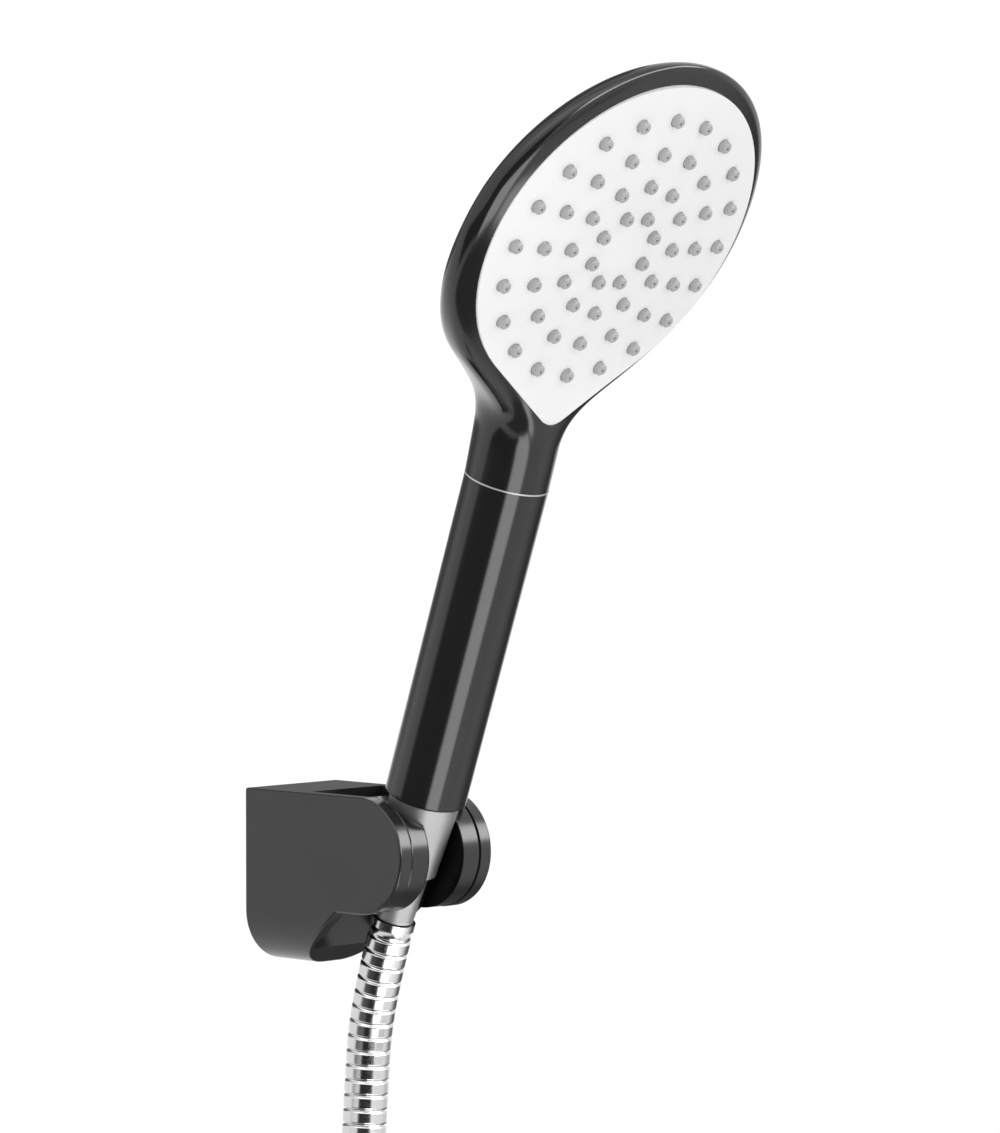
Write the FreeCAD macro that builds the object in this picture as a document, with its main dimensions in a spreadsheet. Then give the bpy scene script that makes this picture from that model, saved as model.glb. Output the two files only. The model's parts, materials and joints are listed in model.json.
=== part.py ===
"""Hand shower parked in its wall bracket, with its metal hose. Millimetres, +Z up.

The wall is the plane Y = 0 and the set stands out towards -Y. The origin is on the wall, behind
the centre of the turning socket. The hand shower's own frame has its Z axis along the handle and
the plate's frame has its Z axis up the spray plate, which looks along -Y.
"""
import FreeCAD, Part
import math
import os

import Sketcher
from FreeCAD import Placement, Rotation, Vector

os.makedirs("parts", exist_ok=True)
doc = FreeCAD.newDocument("hand_shower")

# ---------------------------------------------------------------- driving dimensions
SIZES = {
    # bracket
    "bracket_half_width": 20.5, "arm_inner": 15.6, "cover_inner": 18.8, "pivot_reach": 51.5,
    "arm_radius": 18.5, "base_depth": 25.0, "lip_depth": 18.0, "lip_gusset": 41.0,
    "lip_bottom": 37.4, "lip_corner": 17.0, "arm_edge": 0.8, "cavity_depth": 20.0,
    "cavity_half_width": 12.5, "cavity_half_height": 15.5, "rib_half_width": 1.6, "screw_upper": 10.0, "screw_lower": -10.0, "screw_hole": 2.5,
    "screw_head": 4.8, "screw_floor": 6.0, "boss_radius": 6.2,
    "peg_radius": 1.2, "peg_length": 2.0, "peg_upper": 11.0, "peg_lower": -11.0, "peg_reach": 10.0,
    # turning socket
    "drum_radius": 18.3, "drum_half_length": 15.3, "bore_offset": 2.5, "slot_half_width": 7.6, "drum_edge": 0.7,
    "bore_clearance": 0.1, "pin_radius": 3.0, "pin_clearance": 0.05, "pin_inner": 11.7,
    "pin_head": 5.0, "pin_head_length": 1.4, "washer_radius": 7.8, "washer_recess": 1.2,
    "washer_thickness": 0.8, "wave_thickness": 0.65,
    # parked attitude, degrees from the vertical
    "handle_lean": 19.5, "plate_lean": 31.5,
    # handle, along its own axis
    "handle_bottom": 20.0, "handle_top": 126.8, "handle_low_radius": 13.05,
    "handle_top_radius": 13.45, "sleeve_bore": 11.2, "sleeve_edge": 0.6, "ring_width": 0.5,
    "pipe_radius": 7.5, "pipe_bore": 5.5, "pipe_top": 146.0, "collar_bottom": 129.0,
    "collar_radius": 10.6, "neck_bore": 10.65, "neck_bore_top": 147.0, "o_ring_section": 1.8,
    "o_ring_low": 133.0, "o_ring_high": 139.0, "foot_bottom": 20.0, "foot_top": 30.0,
    "thread_radius": 10.4, "thread_relief": 9.4, "thread_bottom": 13.0, "thread_top": 18.4,
    # hose nut and ferrule
    "nut_top": 19.5, "nut_top_radius": 11.35, "nut_step": -4.6, "nut_step_radius": 9.4,
    "nut_tail_radius": 7.5, "nut_bottom": -21.7, "nut_bottom_radius": 6.1, "nut_thread_bore": 10.48,
    "nut_seat": 8.2, "nut_bore": 5.1, "flange_radius": 9.1, "flange_bottom": 9.2, "flange_top": 11.0,
    "ferrule_radius": 4.8, "ferrule_bore": 3.4, "skirt_radius": 7.1, "skirt_top": -22.1,
    "skirt_bottom": -24.5, "filter_radius": 9.4, "filter_bore": 5.2, "regulator_thickness": 3.0,
    "running_gap": 0.05,
    # hose
    "hose_radius": 7.1, "ball_drop": 3.6, "seat_clearance": 0.05, "coil_radius": 72.0,
    "coil_turns": 3.0, "turn_pitch": 14.6, "tail_length": 62.0, "tie_thickness": 1.0, "coil_relief": 0.15,
    "tie_half_angle": 4.0,
    # supply end of the hose
    "end_ferrule_radius": 7.3, "end_ferrule_length": 9.0, "hex_across": 24.0, "hex_length": 15.0,
    "end_thread_bore": 9.6, "end_undercut": 10.2, "end_flange_low": 3.0, "end_flange_high": 4.8,
    "end_washer_high": 6.8,
    # spray head, in the plate's frame
    "head_reach": 22.15, "head_height": 210.5, "head_radius": 59.9, "head_rise": 1.9,
    "rim_back": 10.7, "rim_back_top": 6.0, "wall": 2.4,
    "plate_radius": 54.0, "plate_rise": 2.0, "tip_radius": 8.0, "tip_drop": 61.5,
    "plate_thickness": 2.0, "plate_gap": 0.12, "mat_thickness": 1.0, "inner_radius": 48.8,
    "chamber_radius": 49.0, "chamber_front": 8.2, "seal_width": 1.4, "seal_front": 6.2,
    "seal_height": 1.4, "nozzle_base": 2.15, "nozzle_tip": 1.95, "nozzle_length": 2.2,
    "nozzle_edge": 0.5, "nozzle_hole": 2.2, "jet_radius": 0.4, "feed_radius": 0.9, "post_circle": 28.2,
    "post_radius": 3.4, "screw_shank": 1.25, "screw_crown": 2.6, "screw_crown_height": 1.5,
    "screw_length": 9.0,
}

sheet = doc.addObject("Spreadsheet::Sheet", "Dims")
for row, (alias, number) in enumerate(SIZES.items(), start=1):
    sheet.set("A%d" % row, alias)
    sheet.set("B%d" % row, str(number))
    sheet.setAlias("B%d" % row, alias)
doc.recompute()


def size(alias):
    """A driving dimension, read back from the sheet."""
    return float(sheet.get(alias))


# ---------------------------------------------------------------- frames
LEAN = size("handle_lean")
PIVOT = Vector(0, -size("pivot_reach"), 0)
WORLD = Placement()
DRUM = Placement(PIVOT, Rotation(Vector(1, 0, 0), LEAN))
HANDLE = DRUM.multiply(Placement(Vector(0, -size("bore_offset"), 0), Rotation()))
PLATE = HANDLE.multiply(Placement(Vector(0, -size("head_reach"), size("head_height")),
                                  Rotation(Vector(1, 0, 0), size("plate_lean") - LEAN)))
NODES = {}


def keep(name, thing, placement=WORLD):
    """Names a finished sub-part and puts it in its place."""
    thing.Label = name
    thing.Placement = placement
    NODES[name] = thing
    return thing


def plane(body, role):
    """An origin plane of a body."""
    return next(f for f in body.Origin.OriginFeatures if f.Role == role)


def revolved(name, outline, placement=WORLD):
    """A turned piece: outline is a closed list of (radius, height) expressions on the sheet."""
    body = doc.addObject("PartDesign::Body", name)
    sketch = body.newObject("Sketcher::SketchObject", name + "_profile")
    sketch.AttachmentSupport = (plane(body, "XZ_Plane"), [""])
    sketch.MapMode = "FlatFace"
    points = [tuple(number_of(text) for text in corner) for corner in outline]
    count = len(points)
    for i in range(count):
        start, end = points[i], points[(i + 1) % count]
        sketch.addGeometry(Part.LineSegment(Vector(*start, 0), Vector(*end, 0)), False)
    for i in range(count):
        sketch.addConstraint(Sketcher.Constraint("Coincident", i, 2, (i + 1) % count, 1))
    for i, (radius, height) in enumerate(outline):
        place_point(sketch, i, "DistanceX", radius, points[i][0])
        place_point(sketch, i, "DistanceY", height, points[i][1])
    turn = body.newObject("PartDesign::Revolution", name + "_turn")
    turn.Profile = sketch
    turn.ReferenceAxis = (sketch, ["V_Axis"])
    turn.Angle = 360
    return keep(name, body, placement)


def place_point(sketch, index, kind, text, value):
    """Holds one corner of a profile at a distance from the origin, bound to the sheet."""
    if abs(value) < 1e-9:
        axis = -2 if kind == "DistanceX" else -1
        sketch.addConstraint(Sketcher.Constraint("PointOnObject", index, 1, axis))
        return
    at = sketch.addConstraint(Sketcher.Constraint(kind, -1, 1, index, 1, value))
    sketch.setExpression("Constraints[%d]" % at, bound(text))


def bound(text):
    """An expression on aliases, with each alias pointed at the sheet."""
    words = text.replace("(", "( ").replace(")", " )").split()
    return " ".join("Dims." + word if word in SIZES else word for word in words)


def number_of(text):
    """The value of an expression on aliases."""
    return float(sheet.evalExpression(text))


def feature(name, shape, placement=WORLD):
    """A piece whose shape comes from Part's own functions, at sizes read from the sheet."""
    thing = doc.addObject("Part::Feature", name)
    thing.Shape = shape
    return keep(name, thing, placement)


def cylinder(radius, low, high, place=(0, 0), axis="Z"):
    """A cylinder from low to high along an axis, with its centre at place across it."""
    if axis == "X":
        return Part.makeCylinder(radius, high - low, Vector(low, place[0], place[1]), Vector(1, 0, 0))
    if axis == "Y":
        return Part.makeCylinder(radius, high - low, Vector(place[0], low, place[1]), Vector(0, 1, 0))
    return Part.makeCylinder(radius, high - low, Vector(place[0], place[1], low), Vector(0, 0, 1))


def block(x0, x1, y0, y1, z0, z1):
    """A box between two corners."""
    return Part.makeBox(x1 - x0, y1 - y0, z1 - z0, Vector(x0, y0, z0))


def ring(outer, inner, low, high, place=(0, 0), axis="Z"):
    """A washer or tube."""
    return cylinder(outer, low, high, place, axis).cut(cylinder(inner, low - 1, high + 1, place, axis))


# ---------------------------------------------------------------- spray plate and head surfaces
SAG_ACROSS, SAG_ALONG = 0.0013, 0.0007      # how the plate's face falls back from its centre, per mm
BEND_START, BEND = -30.0, 0.0052            # below this height the face bends forward to the neck
NOZZLE_RINGS = [(8, 12.1, 0.5), (12, 22.4, 0.0), (16, 33.5, 0.0), (20, 44.9, 0.0)]


def face_depth(x, z):
    """How far the plate's front face lies behind its centre point."""
    below = min(z - BEND_START, 0.0)
    return SAG_ACROSS * x * x + SAG_ALONG * z * z - BEND * below * below


def nozzle_places():
    """(x, z) of each nozzle; a whole step of each ring but the first points at the tip."""
    for count, radius, phase in NOZZLE_RINGS:
        for k in range(count):
            angle = 2 * math.pi * (k + phase) / count
            yield radius * math.sin(angle), -radius * math.cos(angle)


def face_slab(front, thickness):
    """A slab with the plate's curved front face, front mm behind it, and as thick as asked."""
    steps = [i * 6.5 for i in range(-11, 12)]
    grid = [[Vector(x, face_depth(x, z) + front, z) for z in steps] for x in steps]
    surface = Part.BSplineSurface()
    surface.interpolate(grid)
    return surface.toShape().extrude(Vector(0, thickness, 0))


def teardrop(radius, rise, tip_radius, tip_drop, grow=0.0):
    """The plate's outline: a circle, two tangents and a rounded tip, as a wire in the XZ plane."""
    big, small = radius + grow, tip_radius + grow
    tip_centre = -tip_drop + tip_radius
    half = math.asin((big - small) / (rise - tip_centre))
    across, down = math.cos(half), math.sin(half)

    def corner(circle_radius, height, side):
        return Vector(side * circle_radius * across, 0, height - circle_radius * down)

    left_big, right_big = corner(big, rise, -1), corner(big, rise, 1)
    left_small, right_small = corner(small, tip_centre, -1), corner(small, tip_centre, 1)
    return Part.Wire([
        Part.Arc(left_big, Vector(0, 0, rise + big), right_big).toShape(),
        Part.LineSegment(right_big, right_small).toShape(),
        Part.Arc(right_small, Vector(0, 0, tip_centre - small), left_small).toShape(),
        Part.LineSegment(left_small, left_big).toShape(),
    ])


def prism(wire, low, high):
    """The wire's area as a solid from y = low to y = high."""
    moved = wire.copy()
    moved.translate(Vector(0, low, 0))
    return Part.Face(moved).extrude(Vector(0, high - low, 0))


def smooth(x, table):
    """A monotone cubic through the table's (x, value) pairs, level beyond its ends."""
    xs, ys = [p[0] for p in table], [p[1] for p in table]
    if x <= xs[0]:
        return ys[0]
    if x >= xs[-1]:
        return ys[-1]
    slopes = [(ys[i + 1] - ys[i]) / (xs[i + 1] - xs[i]) for i in range(len(xs) - 1)]
    ends = [slopes[0]]
    for before, after in zip(slopes, slopes[1:]):
        ends.append(0.0 if before * after <= 0 else 2 * before * after / (before + after))
    ends.append(slopes[-1])
    i = max(k for k in range(len(xs) - 1) if xs[k] <= x)
    width = xs[i + 1] - xs[i]
    u = (x - xs[i]) / width
    return (ys[i] * (2 * u**3 - 3 * u**2 + 1) + ys[i + 1] * (3 * u**2 - 2 * u**3)
            + width * (ends[i] * (u**3 - 2 * u**2 + u) + ends[i + 1] * (u**3 - u**2)))


NECK_START = -86.5          # height of the handle's top ring below the plate's centre
SHOULDER_ANGLE = 53.3       # half the angle between the shoulders that run into the neck
NECK_BLEND = 3.3            # how softly they run into it
BACK = [(NECK_START, 17.43), (-70, 23.4), (-50, 33.0), (-20, 26.9), (10, 20.5), (62, 20.5)]
NECK_AXIS = [(NECK_START, 4.27), (-70, 7.78), (-52, 9.8), (-38, 10.7)]
FRONT = [(NECK_START, -8.89), (-75, -6.3), (-64, -3.5), (-54, -0.9), (-44, 0.5), (-34, 0.9), (0, 0.3)]
ROUND_POWER = 2.16          # 2 is an ellipse; more is squarer
LIP_POWER = 2.9
SQUARE_LOW, SQUARE_HIGH = -70.0, -48.0


def half_width(z, radius, rise, neck):
    """The head's half width seen from the front: circle, straight shoulders, neck."""
    angle = math.radians(SHOULDER_ANGLE)
    if z > rise - radius * math.sin(angle):
        width = math.sqrt(max(radius**2 - (z - rise)**2, 0.0))
        if z > rise:
            return width
    else:
        width = (z - rise + radius / math.sin(angle)) * math.tan(angle)
    high = max(width, neck)
    return high + NECK_BLEND * math.log(
        math.exp((width - high) / NECK_BLEND) + math.exp((neck - high) / NECK_BLEND))


def head_section(z, inset):
    """A closed curve round the head at height z, inset from the outer skin."""
    radius, rise = size("head_radius") - inset, size("head_rise")
    neck = size("handle_top_radius") - inset
    top = rise + radius
    width = half_width(z, radius, rise, neck)
    over = max((z - rise) / radius, 0.0)
    middle = smooth(z, NECK_AXIS + [(rise, size("rim_back")), (top, size("rim_back_top"))])
    crown = (1 - min(over, 1.0)**ROUND_POWER)**(1 / ROUND_POWER)
    back = middle + (smooth(z, BACK) - inset - middle) * crown
    front = middle - (middle - smooth(z, FRONT) - inset) * crown
    tilt = math.radians(size("plate_lean") - LEAN) * min(max((-50 - z) / (-50 - NECK_START), 0), 1)
    squareness = min(max((z - SQUARE_LOW) / (SQUARE_HIGH - SQUARE_LOW), 0), 1)
    back_power = 2 + (ROUND_POWER - 2) * squareness
    front_power = 2 + (LIP_POWER - 2) * squareness
    points = []
    steps = 36
    for k in range(steps):
        angle = 2 * math.pi * k / steps
        c, s = math.cos(angle), math.sin(angle)
        power = back_power if s >= 0 else front_power
        reach = back - middle if s >= 0 else middle - front
        x = width * math.copysign(abs(c)**(2 / power), c)
        y = reach * math.copysign(abs(s)**(2 / power), s)
        points.append(Vector(x, middle + y, z - math.tan(tilt) * y))
    curve = Part.BSplineCurve()
    curve.interpolate(points, PeriodicFlag=True)
    return Part.Wire([curve.toShape()])


def head_loft(inset, lowest):
    """The head and neck as a solid, from a height up to the crown."""
    radius, rise = size("head_radius") - inset, size("head_rise")
    heights = [z for z in (NECK_START, -80, -73, -66, -59, -52, -45, -38, -30, -21, -11, 0)
               if z >= lowest]
    angles = (10, 20, 30, 39, 48, 56, 63, 70, 76, 81, 85, 88)
    heights += [rise + radius * math.sin(math.radians(a)) for a in angles]
    return Part.makeLoft([head_section(z, inset) for z in heights], True, False)


# ---------------------------------------------------------------- head pieces
def head_shell():
    """One moulding: domed back, rim, neck and the socket for the water pipe."""
    outer = head_loft(0.0, NECK_START)
    inner = head_loft(size("wall"), -48)
    front = size("chamber_front")
    inner = inner.common(block(-70, 70, front, 60, -60, 70))
    rise = size("plate_rise")
    shell = outer.cut(inner)
    seat = prism(teardrop(size("plate_radius"), rise, size("tip_radius"), size("tip_drop"),
                          size("plate_gap")), -30, 30)
    seat = seat.common(face_slab(-30, 30 + size("plate_thickness")))
    shell = shell.cut(seat)
    shell = shell.cut(cylinder(size("chamber_radius"), -5, front + 0.5, (0, rise), "Y"))
    posts = [cylinder(size("post_radius"), front, 30, place, "Y") for place in post_places()]
    posts = [post.common(head_loft(size("wall") / 2, -48)) for post in posts]
    shell = shell.multiFuse(posts)
    for place in post_places():
        shell = shell.cut(cylinder(size("screw_shank") - 0.1, front - 1, front + 7.5, place, "Y"))
    to_handle = PLATE.inverse().multiply(HANDLE)
    socket = cylinder(size("neck_bore"), size("handle_top"), size("neck_bore_top"))
    channel = cylinder(size("pipe_bore"), size("handle_top"), size("neck_bore_top") + 22)
    below = cylinder(30, size("handle_top") - 30, size("handle_top") + size("ring_width"))
    for bore in (socket, channel, below):
        bore.Placement = to_handle
        shell = shell.cut(bore)
    return shell.removeSplitter()


def post_places():
    """(x, z) of the four screws between the second and third ring of nozzles."""
    for k in range(4):
        angle = math.radians(45 + 90 * k + 3.5)
        yield size("post_circle") * math.cos(angle), size("post_circle") * math.sin(angle)


def face_plate():
    """White plate with a hole for each nozzle."""
    outline = teardrop(size("plate_radius"), size("plate_rise"), size("tip_radius"), size("tip_drop"))
    plate = prism(outline, -30, 30).common(face_slab(0, size("plate_thickness")))
    holes = [cylinder(size("nozzle_hole"), -20, 20, place, "Y") for place in nozzle_places()]
    return plate.cut(Part.makeCompound(holes))


def nozzle_mat():
    """Silicone mat with a hollow tapered nozzle through each hole of the plate."""
    back = size("plate_thickness")
    mat = cylinder(size("inner_radius"), -30, 30, (0, size("plate_rise")), "Y")
    mat = mat.common(face_slab(back, size("mat_thickness")))
    cones, jets = [], []
    for x, z in nozzle_places():
        root = face_depth(x, z) + back + size("mat_thickness") / 2
        tip = face_depth(x, z) - size("nozzle_length")
        edge = tip + size("nozzle_edge")
        towards = Vector(0, -1, 0)
        cones.append(Part.makeCone(size("nozzle_base"), size("nozzle_tip"), root - edge, Vector(x, root, z),
                                   towards))
        cones.append(Part.makeCone(size("nozzle_tip"), size("nozzle_tip") - size("nozzle_edge"), edge - tip,
                                   Vector(x, edge, z), towards))
        jets.append(cylinder(size("jet_radius"), tip - 1, root + 5, (x, z), "Y"))
    return mat.multiFuse(cones).cut(Part.makeCompound(jets))


def spray_distributor():
    """Disc that clamps the mat, with a feed hole behind each nozzle."""
    front = size("plate_thickness") + size("mat_thickness")
    rise, back = size("plate_rise"), size("chamber_front")
    disc = cylinder(size("inner_radius"), -5, back, (0, rise), "Y")
    disc = disc.common(face_slab(front, 12))
    low = size("seal_front")
    groove = ring(size("inner_radius") + 1, size("inner_radius") - size("seal_width"), low,
                  low + size("seal_height"), (0, rise), "Y")
    disc = disc.cut(groove)
    cuts = [cylinder(size("feed_radius"), -5, 20, place, "Y") for place in nozzle_places()]
    for place in post_places():
        cuts.append(cylinder(size("screw_shank") + 0.1, -5, 20, place, "Y"))
        cuts.append(cylinder(size("screw_crown") + 0.1, -5, crown_back(place), place, "Y"))
    return disc.cut(Part.makeCompound(cuts))


def crown_back(place):
    """Depth of the underside of a screw's crown, sunk below the mat."""
    front = size("plate_thickness") + size("mat_thickness")
    return face_depth(*place) + front + 0.4 + size("screw_crown_height")


def distributor_screws():
    """Four self-tapping screws."""
    screws = []
    for place in post_places():
        under = crown_back(place)
        crown = cylinder(size("screw_crown"), under - size("screw_crown_height"), under, place, "Y")
        recess = Part.makeBox(0.7, 0.9, 3.2, Vector(place[0] - 0.35, under - size("screw_crown_height"),
                                                    place[1] - 1.6))
        shank = cylinder(size("screw_shank"), under, under + size("screw_length"), place, "Y")
        screws.append(crown.fuse(shank).cut(recess))
    return Part.makeCompound(screws)


feature("head_shell", head_shell(), PLATE)
feature("face_plate", face_plate(), PLATE)
feature("nozzle_mat", nozzle_mat(), PLATE)
feature("spray_distributor", spray_distributor(), PLATE)
feature("distributor_screws", distributor_screws(), PLATE)
seal_low = size("seal_front")
feature("chamber_seal", ring(size("chamber_radius"), size("inner_radius") - size("seal_width"), seal_low,
                             seal_low + size("seal_height"), (0, size("plate_rise")), "Y"), PLATE)

# ---------------------------------------------------------------- handle pieces
revolved("handle_sleeve", [
    ("sleeve_bore", "handle_bottom"), ("handle_low_radius - sleeve_edge", "handle_bottom"),
    ("handle_low_radius", "handle_bottom + sleeve_edge"), ("handle_top_radius", "handle_top"),
    ("sleeve_bore", "handle_top")], HANDLE)
revolved("seam_ring", [
    ("neck_bore", "handle_top"), ("handle_top_radius + 0.08", "handle_top"),
    ("handle_top_radius + 0.08", "handle_top + ring_width"), ("neck_bore", "handle_top + ring_width")],
    HANDLE)


def o_ring_groove(low):
    """The two corners of a groove's floor in the pipe's collar, and its mouth."""
    depth = "collar_radius - o_ring_section + 0.2"
    return [("collar_radius", low), (depth, low), (depth, low + " + o_ring_section"),
            ("collar_radius", low + " + o_ring_section")]


revolved("inner_waterway", [
    ("pipe_bore", "thread_bottom"), ("thread_radius - 0.8", "thread_bottom"),
    ("thread_radius", "thread_bottom + 0.8"), ("thread_radius", "thread_top"),
    ("thread_relief", "thread_top"), ("thread_relief", "foot_bottom"),
    ("sleeve_bore", "foot_bottom"), ("sleeve_bore", "foot_top"), ("pipe_radius", "foot_top + 2"),
    ("pipe_radius", "collar_bottom - 2"), ("collar_radius", "collar_bottom")]
    + o_ring_groove("o_ring_low") + o_ring_groove("o_ring_high")
    + [("collar_radius", "pipe_top"), ("pipe_bore", "pipe_top")], HANDLE)

o_ring_outer = size("neck_bore")
o_ring_inner = size("collar_radius") - size("o_ring_section") + 0.2
o_rings = [ring(o_ring_outer, o_ring_inner, size(low), size(low) + size("o_ring_section"))
           for low in ("o_ring_low", "o_ring_high")]
feature("waterway_o_rings", Part.makeCompound(o_rings), HANDLE)

# ---------------------------------------------------------------- cone nut and ferrule
revolved("cone_nut", [
    ("nut_bore", "nut_bottom"), ("nut_bottom_radius", "nut_bottom"),
    ("nut_tail_radius", "nut_step"), ("nut_step_radius", "nut_step"), ("nut_top_radius", "nut_top"),
    ("nut_thread_bore", "nut_top"), ("nut_thread_bore", "thread_bottom"),
    ("filter_radius + 0.1", "thread_bottom"), ("filter_radius + 0.1", "nut_seat"),
    ("nut_bore", "nut_seat")], HANDLE)
revolved("inlet_filter", [
    ("filter_bore", "flange_top"), ("filter_radius", "flange_top"), ("filter_radius", "thread_bottom"),
    ("filter_bore", "thread_bottom")], HANDLE)
revolved("flow_regulator", [
    ("1.2", "thread_bottom + 2"), ("pipe_bore", "thread_bottom + 2"),
    ("pipe_bore", "thread_bottom + 2 + regulator_thickness"),
    ("2.4", "thread_bottom + 2 + regulator_thickness")], HANDLE)
revolved("ferrule_washer", [
    ("ferrule_radius", "nut_seat + running_gap"), ("flange_radius", "nut_seat + running_gap"),
    ("flange_radius", "flange_bottom"), ("ferrule_radius", "flange_bottom")], HANDLE)

seat_radius = size("hose_radius") + size("seat_clearance")
ball_centre = size("skirt_bottom") - size("ball_drop")


def hose_ferrule():
    """Flanged tail with a skirt whose mouth is a ball seat for the hose's end."""
    tail = cylinder(size("ferrule_radius"), size("skirt_top"), size("flange_bottom"))
    flange = cylinder(size("flange_radius"), size("flange_bottom"), size("flange_top") - size("running_gap"))
    skirt = cylinder(size("skirt_radius"), size("skirt_bottom"), size("skirt_top"))
    solid = tail.multiFuse([flange, skirt]).removeSplitter()
    seat = Part.makeSphere(seat_radius, Vector(0, 0, ball_centre))
    return solid.cut(seat).cut(cylinder(size("ferrule_bore"), -60, 40))


feature("hose_ferrule", hose_ferrule(), HANDLE)

# ---------------------------------------------------------------- hose
HOSE_ROOT = HANDLE.multVec(Vector(0, 0, ball_centre))
COIL_CENTRE = Vector(38, -34, -204)
RUN_POINTS = [(0, -36.4, -50.2), (0, -33.8, -78), (-2, -33.8, -106), (-13, -34, -136), (-28, -34, -167)]


def hose_path():
    """The hose's corners from its root to the start of the coil."""
    start = Vector(COIL_CENTRE.x - size("coil_radius"), COIL_CENTRE.y, COIL_CENTRE.z)
    return [HOSE_ROOT] + [Vector(*p) for p in RUN_POINTS] + [start]


def tube_along(corners, radius):
    """A tube of straight runs joined by tangent arcs; prints each arc's radius."""
    edges, at = [], corners[0]
    length, radii = 0.0, []
    for before, corner, after in zip(corners, corners[1:], corners[2:]):
        back, ahead = (before - corner), (after - corner)
        half_turn = (math.pi - back.getAngle(ahead)) / 2
        trim = 0.45 * min(back.Length, ahead.Length)
        bend = trim / math.tan(half_turn)
        radii.append(round(bend))
        back.normalize()
        ahead.normalize()
        enter, leave = corner + back * trim, corner + ahead * trim
        inward = back + ahead
        inward.normalize()
        centre = corner + inward * (bend / math.cos(half_turn))
        middle = centre - inward * bend
        edges += [Part.LineSegment(at, enter).toShape(), Part.Arc(enter, middle, leave).toShape()]
        length += (enter - at).Length + 2 * half_turn * bend
        at = leave
    edges.append(Part.LineSegment(at, corners[-1]).toShape())
    length += (corners[-1] - at).Length
    direction = corners[1] - corners[0]
    section = Part.Wire([Part.makeCircle(radius, corners[0], direction)])
    tube = Part.Wire(edges).makePipeShell([section], True, False)
    print("bend radii", radii, "length", round(length, 1), "volume",
          round(tube.Volume), "of", round(math.pi * radius**2 * length))
    return tube, length


hose_tube, run_length = tube_along(hose_path(), size("hose_radius"))
hose_ball = Part.makeSphere(size("hose_radius"), HOSE_ROOT)
feature("hose_run", hose_tube.fuse(hose_ball).removeSplitter())

turn_depth = size("coil_turns") * size("turn_pitch")
# a hair slimmer than the hose, so that the cuts for the hose and its tail go cleanly through
coil_half = size("hose_radius") - size("coil_relief")
coil_front = COIL_CENTRE.y + coil_half
coil_back = COIL_CENTRE.y - turn_depth - coil_half
coil_inner, coil_outer = size("coil_radius") - coil_half, size("coil_radius") + coil_half
tail_top = Vector(COIL_CENTRE.x - size("coil_radius"), COIL_CENTRE.y - turn_depth, COIL_CENTRE.z)
tail_bottom = tail_top - Vector(0, 0, size("tail_length"))
tail = Part.makeCylinder(size("hose_radius"), size("tail_length"), tail_bottom)
coil_solid = ring(coil_outer, coil_inner, coil_back, coil_front, (COIL_CENTRE.x, COIL_CENTRE.z), "Y")
feature("hose_coil", coil_solid.cut(hose_tube).cut(tail))
feature("hose_tail", tail)

ties = []
for clock in (40, 235):
    spin = Rotation(Vector(0, -1, 0), clock - size("tie_half_angle"))
    around = Placement(Vector(COIL_CENTRE.x, 0, COIL_CENTRE.z), spin.multiply(Rotation(Vector(1, 0, 0), 90)))
    span = 2 * size("tie_half_angle")
    grow = size("tie_thickness")
    high, low = -coil_back, -coil_front

    def wedge(outer, inner, start, end):
        """A sector of a ring about the coil's axis."""
        turned = Part.makeCylinder(outer, end - start, Vector(0, 0, start), Vector(0, 0, 1), span)
        return turned.cut(Part.makeCylinder(inner, end - start, Vector(0, 0, start), Vector(0, 0, 1), span))

    tie = wedge(coil_outer + grow, coil_inner - grow, low - grow, high + grow)
    tie = tie.cut(wedge(coil_outer, coil_inner, low, high))
    tie.Placement = around
    ties.append(tie)
feature("coil_ties", Part.makeCompound(ties))

hose_length = run_length + size("coil_turns") * math.hypot(2 * math.pi * size("coil_radius"),
                                                           size("turn_pitch")) + size("tail_length")
print("hose length", round(hose_length))

END = Placement(tail_bottom, Rotation(Vector(1, 0, 0), 180))
revolved("far_end_ferrule", [
    ("ferrule_bore", "0"), ("end_ferrule_radius", "0"), ("end_ferrule_radius", "end_ferrule_length"),
    ("ferrule_radius", "end_ferrule_length"), ("ferrule_radius", "end_ferrule_length + end_flange_low"),
    ("flange_radius", "end_ferrule_length + end_flange_low"),
    ("flange_radius", "end_ferrule_length + end_flange_high"),
    ("ferrule_bore", "end_ferrule_length + end_flange_high")], END)


def far_end_nut():
    """Hexagonal G1/2 nut that turns on the ferrule's flange, its thread undercut round the washer."""
    low = size("end_ferrule_length") + 0.2
    high = low + size("hex_length")
    apothem = size("hex_across") / 2
    corner = apothem / math.cos(math.pi / 6)
    corners = [Vector(corner * math.cos(math.pi * k / 3), corner * math.sin(math.pi * k / 3), low)
               for k in range(7)]
    hexagon = Part.Face(Part.makePolygon(corners)).extrude(Vector(0, 0, high - low))
    rounding = Part.makeCone(apothem + 0.4, apothem + 4, 4, Vector(0, 0, low))
    rounding = rounding.fuse(cylinder(apothem + 4, low + 4, high))
    nut = hexagon.common(rounding)
    seat = size("end_ferrule_length") + size("end_flange_low") - size("running_gap")
    thread_start = size("end_ferrule_length") + size("end_washer_high") + size("running_gap")
    nut = nut.cut(cylinder(size("nut_bore"), low - 1, seat))
    nut = nut.cut(cylinder(size("end_undercut"), seat, thread_start))
    return nut.cut(cylinder(size("end_thread_bore"), thread_start, high + 1))


feature("far_end_nut", far_end_nut(), END)
revolved("far_end_washer", [
    ("filter_bore", "end_ferrule_length + end_flange_high"),
    ("filter_radius", "end_ferrule_length + end_flange_high"),
    ("filter_radius", "end_ferrule_length + end_washer_high"),
    ("filter_bore", "end_ferrule_length + end_washer_high")], END)

# ---------------------------------------------------------------- turning socket


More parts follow.
